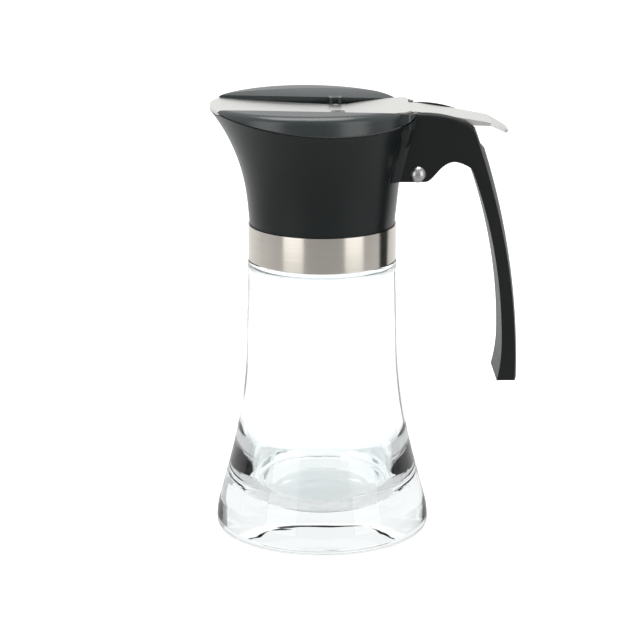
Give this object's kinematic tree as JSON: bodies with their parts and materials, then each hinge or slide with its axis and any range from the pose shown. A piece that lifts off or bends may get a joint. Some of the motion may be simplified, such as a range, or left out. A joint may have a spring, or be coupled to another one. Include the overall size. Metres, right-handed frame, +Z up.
{
  "type": "sugar shaker",
  "caption": "Waisted glass sugar shaker with a screw-on black pouring head, a steel flap worked by a thumb lever, and a one-hand handle.",
  "frame": {"origin": "centre of the jar's foot, on the plane it stands on", "axes": "+Z up along the jar's axis, +X towards the handle, -X towards the pouring nose"},
  "size_m": [0.1145, 0.0804, 0.1629],
  "materials": {
    "clear_glass": "clear",
    "seal_rubber": "matte",
    "black_plastic": "semi-matte",
    "brushed_steel": "brushed",
    "satin_steel": "satin",
    "polished_steel": "polished"
  },
  "bodies": {
    "jar": {"glass_jar": "clear_glass"},
    "seal": {"neck_seal": "seal_rubber"},
    "head": {"screw_collar": "black_plastic", "steel_band": "brushed_steel", "head_shell": "black_plastic", "cover_seal": "seal_rubber", "top_cover": "black_plastic", "cover_screws": "polished_steel", "mouth_ring": "black_plastic", "pin_caps": "black_plastic", "lever_spring": "polished_steel", "handle_shell": "black_plastic", "handle_inner_cover": "black_plastic", "handle_screw": "polished_steel", "handle_nut": "polished_steel"},
    "lever": {"spout_flap": "satin_steel", "thumb_lever": "satin_steel", "lever_pin": "polished_steel", "spring_cap": "black_plastic", "flap_seal": "seal_rubber"}
  },
  "joints": [
    {"name": "head_rise", "type": "slide", "parent": "jar", "child": "seal", "axis": [0, 0, 1], "range_m": [0, 0.00801]},
    {"name": "head_turn", "type": "hinge", "parent": "seal", "child": "head", "pos_m": [0, 0, 0.1142], "axis": [0, 0, 1], "range_deg": [0, 720]},
    {"name": "lever_rock", "type": "hinge", "parent": "head", "child": "lever", "pos_m": [0.00525, 0, 0.15595], "axis": [0, 1, 0], "range_deg": [0, 9], "stiffness_Nm_per_rad": 0.12, "springref_deg": -8.59, "deforming": ["lever_spring"]}
  ],
  "couplings": [
    {"joint": "head_rise", "follows": "head_turn", "m_per_rad": 0.00063662}
  ]
}
